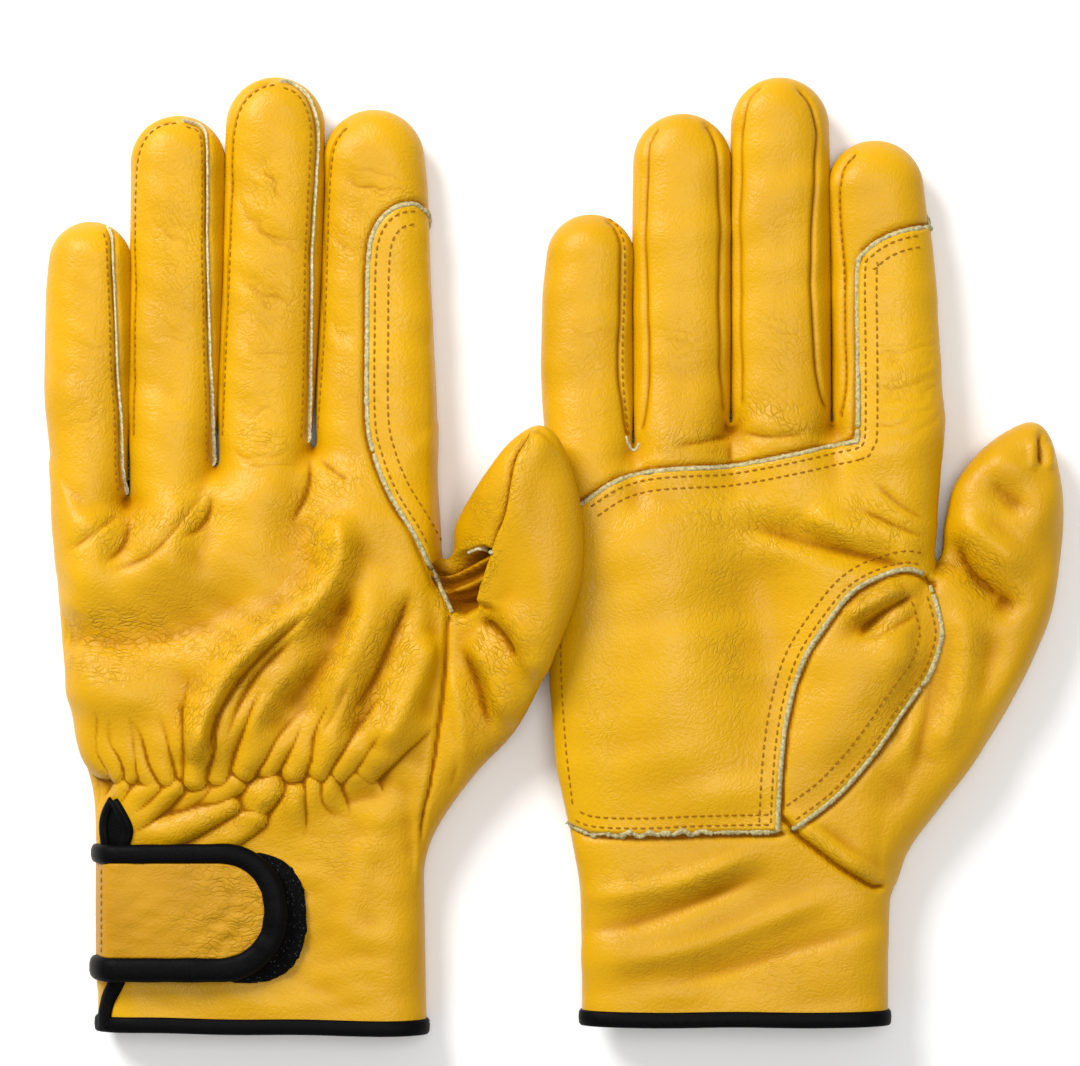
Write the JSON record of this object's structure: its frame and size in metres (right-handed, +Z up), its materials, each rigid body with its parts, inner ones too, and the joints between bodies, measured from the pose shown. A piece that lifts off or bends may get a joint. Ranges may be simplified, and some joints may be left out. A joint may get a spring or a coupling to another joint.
{
  "type": "pair of work gloves",
  "caption": "Pair of yellow leather work gloves with palm patches, gathered elastic wrists and black-bound hook-and-loop wrist straps.",
  "frame": {"origin": "centre of the pair's footprint, on the table they lie on", "axes": "+X from the left-hand glove to the right-hand glove, +Y to the fingertips, +Z up from the table"},
  "size_m": [0.2657, 0.2497, 0.0382],
  "materials": {
    "leather_yellow": "smooth grain cowhide, satin, soft folds",
    "patch_leather": "smooth grain cowhide patch, satin",
    "raw_edge": "pale greenish-grey cut edge, fibrous",
    "thread": "waxed yellow-brown sewing thread",
    "binding_black": "folded woven tape, satin",
    "hook_black": "moulded hooks",
    "loop_black": "fuzzy brushed loop",
    "elastic_white": "woven elastic"
  },
  "bodies": {
    "right_glove": {"right_back_panel": "leather_yellow", "right_palm_panel": "leather_yellow", "right_palm_patch": "patch_leather", "right_thenar_panel": "leather_yellow", "right_elastic_band": "elastic_white", "right_cuff_binding": "binding_black", "right_slit_binding": "binding_black", "right_loop_patch": "loop_black"},
    "right_thumb": {"right_thumb_back": "leather_yellow", "right_thumb_front": "leather_yellow"},
    "right_index": {"right_index_back": "leather_yellow", "right_index_little_side": "leather_yellow", "right_index_front": "leather_yellow", "right_index_patch": "patch_leather"},
    "right_middle": {"right_middle_back": "leather_yellow", "right_middle_little_side": "leather_yellow", "right_middle_thumb_side": "leather_yellow", "right_middle_front": "leather_yellow"},
    "right_ring": {"right_ring_back": "leather_yellow", "right_ring_little_side": "leather_yellow", "right_ring_thumb_side": "leather_yellow", "right_ring_front": "leather_yellow"},
    "right_little": {"right_little_back": "leather_yellow", "right_little_front": "leather_yellow", "right_little_thumb_side": "leather_yellow"},
    "right_strap": {"right_strap": "leather_yellow", "right_strap_binding": "binding_black", "right_hook_patch": "hook_black"},
    "left_glove": {"left_back_panel": "leather_yellow", "left_palm_panel": "leather_yellow", "left_palm_patch": "patch_leather", "left_thenar_panel": "leather_yellow", "left_elastic_band": "elastic_white", "left_cuff_binding": "binding_black", "left_slit_binding": "binding_black", "left_loop_patch": "loop_black"},
    "left_thumb": {"left_thumb_back": "leather_yellow", "left_thumb_front": "leather_yellow"},
    "left_index": {"left_index_back": "leather_yellow", "left_index_little_side": "leather_yellow", "left_index_front": "leather_yellow", "left_index_patch": "patch_leather"},
    "left_middle": {"left_middle_back": "leather_yellow", "left_middle_little_side": "leather_yellow", "left_middle_thumb_side": "leather_yellow", "left_middle_front": "leather_yellow"},
    "left_ring": {"left_ring_back": "leather_yellow", "left_ring_little_side": "leather_yellow", "left_ring_thumb_side": "leather_yellow", "left_ring_front": "leather_yellow"},
    "left_little": {"left_little_back": "leather_yellow", "left_little_front": "leather_yellow", "left_little_thumb_side": "leather_yellow"},
    "left_strap": {"left_strap": "leather_yellow", "left_strap_binding": "binding_black", "left_hook_patch": "hook_black"}
  },
  "joints": [
    {"name": "left_glove_lift", "type": "slide", "parent": "right_glove", "child": "left_glove", "axis": [0, 0, 1], "range_m": [0, 0.12]},
    {"name": "right_index_flex", "type": "hinge", "parent": "right_glove", "child": "right_index", "pos_m": [0.087, 0.0374, 0.0199], "axis": [1, 0, 0], "range_deg": [0, 75]},
    {"name": "right_middle_flex", "type": "hinge", "parent": "right_glove", "child": "right_middle", "pos_m": [0.0595, 0.037, 0.0199], "axis": [1, 0, 0], "range_deg": [0, 75]},
    {"name": "right_ring_flex", "type": "hinge", "parent": "right_glove", "child": "right_ring", "pos_m": [0.0334, 0.0367, 0.0199], "axis": [1, 0, 0], "range_deg": [0, 75]},
    {"name": "right_little_flex", "type": "hinge", "parent": "right_glove", "child": "right_little", "pos_m": [0.0089, 0.0364, 0.0199], "axis": [1, 0, 0], "range_deg": [0, 75]},
    {"name": "right_thumb_flex", "type": "hinge", "parent": "right_glove", "child": "right_thumb", "pos_m": [0.0931, -0.05, 0.0224], "axis": [-0.1255, -0.9921, 0], "range_deg": [0, 50]},
    {"name": "right_strap_peel", "type": "hinge", "parent": "right_glove", "child": "right_strap", "pos_m": [0.0124, -0.093, 0.0018], "axis": [0, 1, 0], "range_deg": [0, 180]},
    {"name": "left_index_flex", "type": "hinge", "parent": "left_glove", "child": "left_index", "pos_m": [-0.0476, 0.0316, 0], "axis": [-1, 0, 0], "range_deg": [0, 70]},
    {"name": "left_middle_flex", "type": "hinge", "parent": "left_glove", "child": "left_middle", "pos_m": [-0.0768, 0.0272, 0], "axis": [-1, 0, 0], "range_deg": [0, 70]},
    {"name": "left_ring_flex", "type": "hinge", "parent": "left_glove", "child": "left_ring", "pos_m": [-0.1007, 0.0237, 0], "axis": [-1, 0, 0], "range_deg": [0, 70]},
    {"name": "left_little_flex", "type": "hinge", "parent": "left_glove", "child": "left_little", "pos_m": [-0.1228, 0.0204, 0], "axis": [-1, 0, 0], "range_deg": [0, 70]},
    {"name": "left_thumb_flex", "type": "hinge", "parent": "left_glove", "child": "left_thumb", "pos_m": [-0.0306, -0.048, 0], "axis": [0.1044, 0.9945, 0], "range_deg": [0, 45]},
    {"name": "left_strap_peel", "type": "hinge", "parent": "left_glove", "child": "left_strap", "pos_m": [-0.1143, -0.093, 0.0222], "axis": [0, -1, 0], "range_deg": [0, 165]}
  ],
  "couplings": [
    {"joint": "left_index_flex", "follows": "left_glove_lift", "rad_per_m": 10},
    {"joint": "left_middle_flex", "follows": "left_glove_lift", "rad_per_m": 10},
    {"joint": "left_ring_flex", "follows": "left_glove_lift", "rad_per_m": 10},
    {"joint": "left_little_flex", "follows": "left_glove_lift", "rad_per_m": 10},
    {"joint": "left_thumb_flex", "follows": "left_glove_lift", "rad_per_m": 6}
  ]
}
